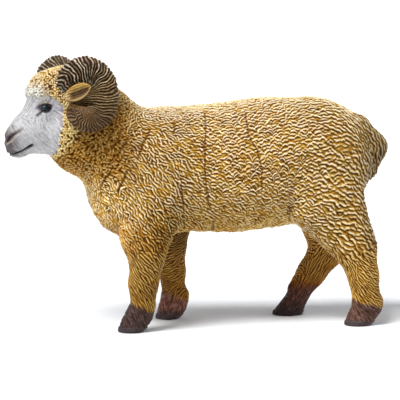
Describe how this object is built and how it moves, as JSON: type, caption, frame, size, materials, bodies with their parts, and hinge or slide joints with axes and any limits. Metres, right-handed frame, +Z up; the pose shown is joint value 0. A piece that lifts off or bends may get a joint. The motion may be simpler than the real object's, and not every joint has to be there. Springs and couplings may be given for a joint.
{
  "type": "toy farm animal figure",
  "caption": "Standing toy ram figure with curled ridged horns, a crimped fleece and flat-soled hooves, glued up from moulded pieces.",
  "frame": {"origin": "centre of the bounding box in X and Y, at the soles of the hooves", "axes": "+X from the nose to the tail, +Z up, the animal's left side to -Y"},
  "size_m": [0.1134, 0.035, 0.0789],
  "materials": {
    "fleece": "matt paint, ochre in the grooves and cream on the crests",
    "face": "matt paint, off-white with a grey-brown nose, the eye glossy black",
    "horn": "satin paint, dark brown grooves and cream ridges",
    "ear": "matt paint, golden brown rim and dark brown hollow",
    "leg": "matt paint, ochre brown turning to dark brown hooves",
    "tail": "matt paint, as the fleece",
    "core": "unpainted moulding"
  },
  "bodies": {
    "root": {"torso_left": "fleece", "torso_right": "fleece", "torso_core": "core", "head": "face", "horn_left": "horn", "horn_right": "horn", "ear_left": "ear", "ear_right": "ear", "leg_front_left": "leg", "leg_front_right": "leg", "leg_hind_left": "leg", "leg_hind_right": "leg", "tail": "tail"}
  },
  "joints": []
}
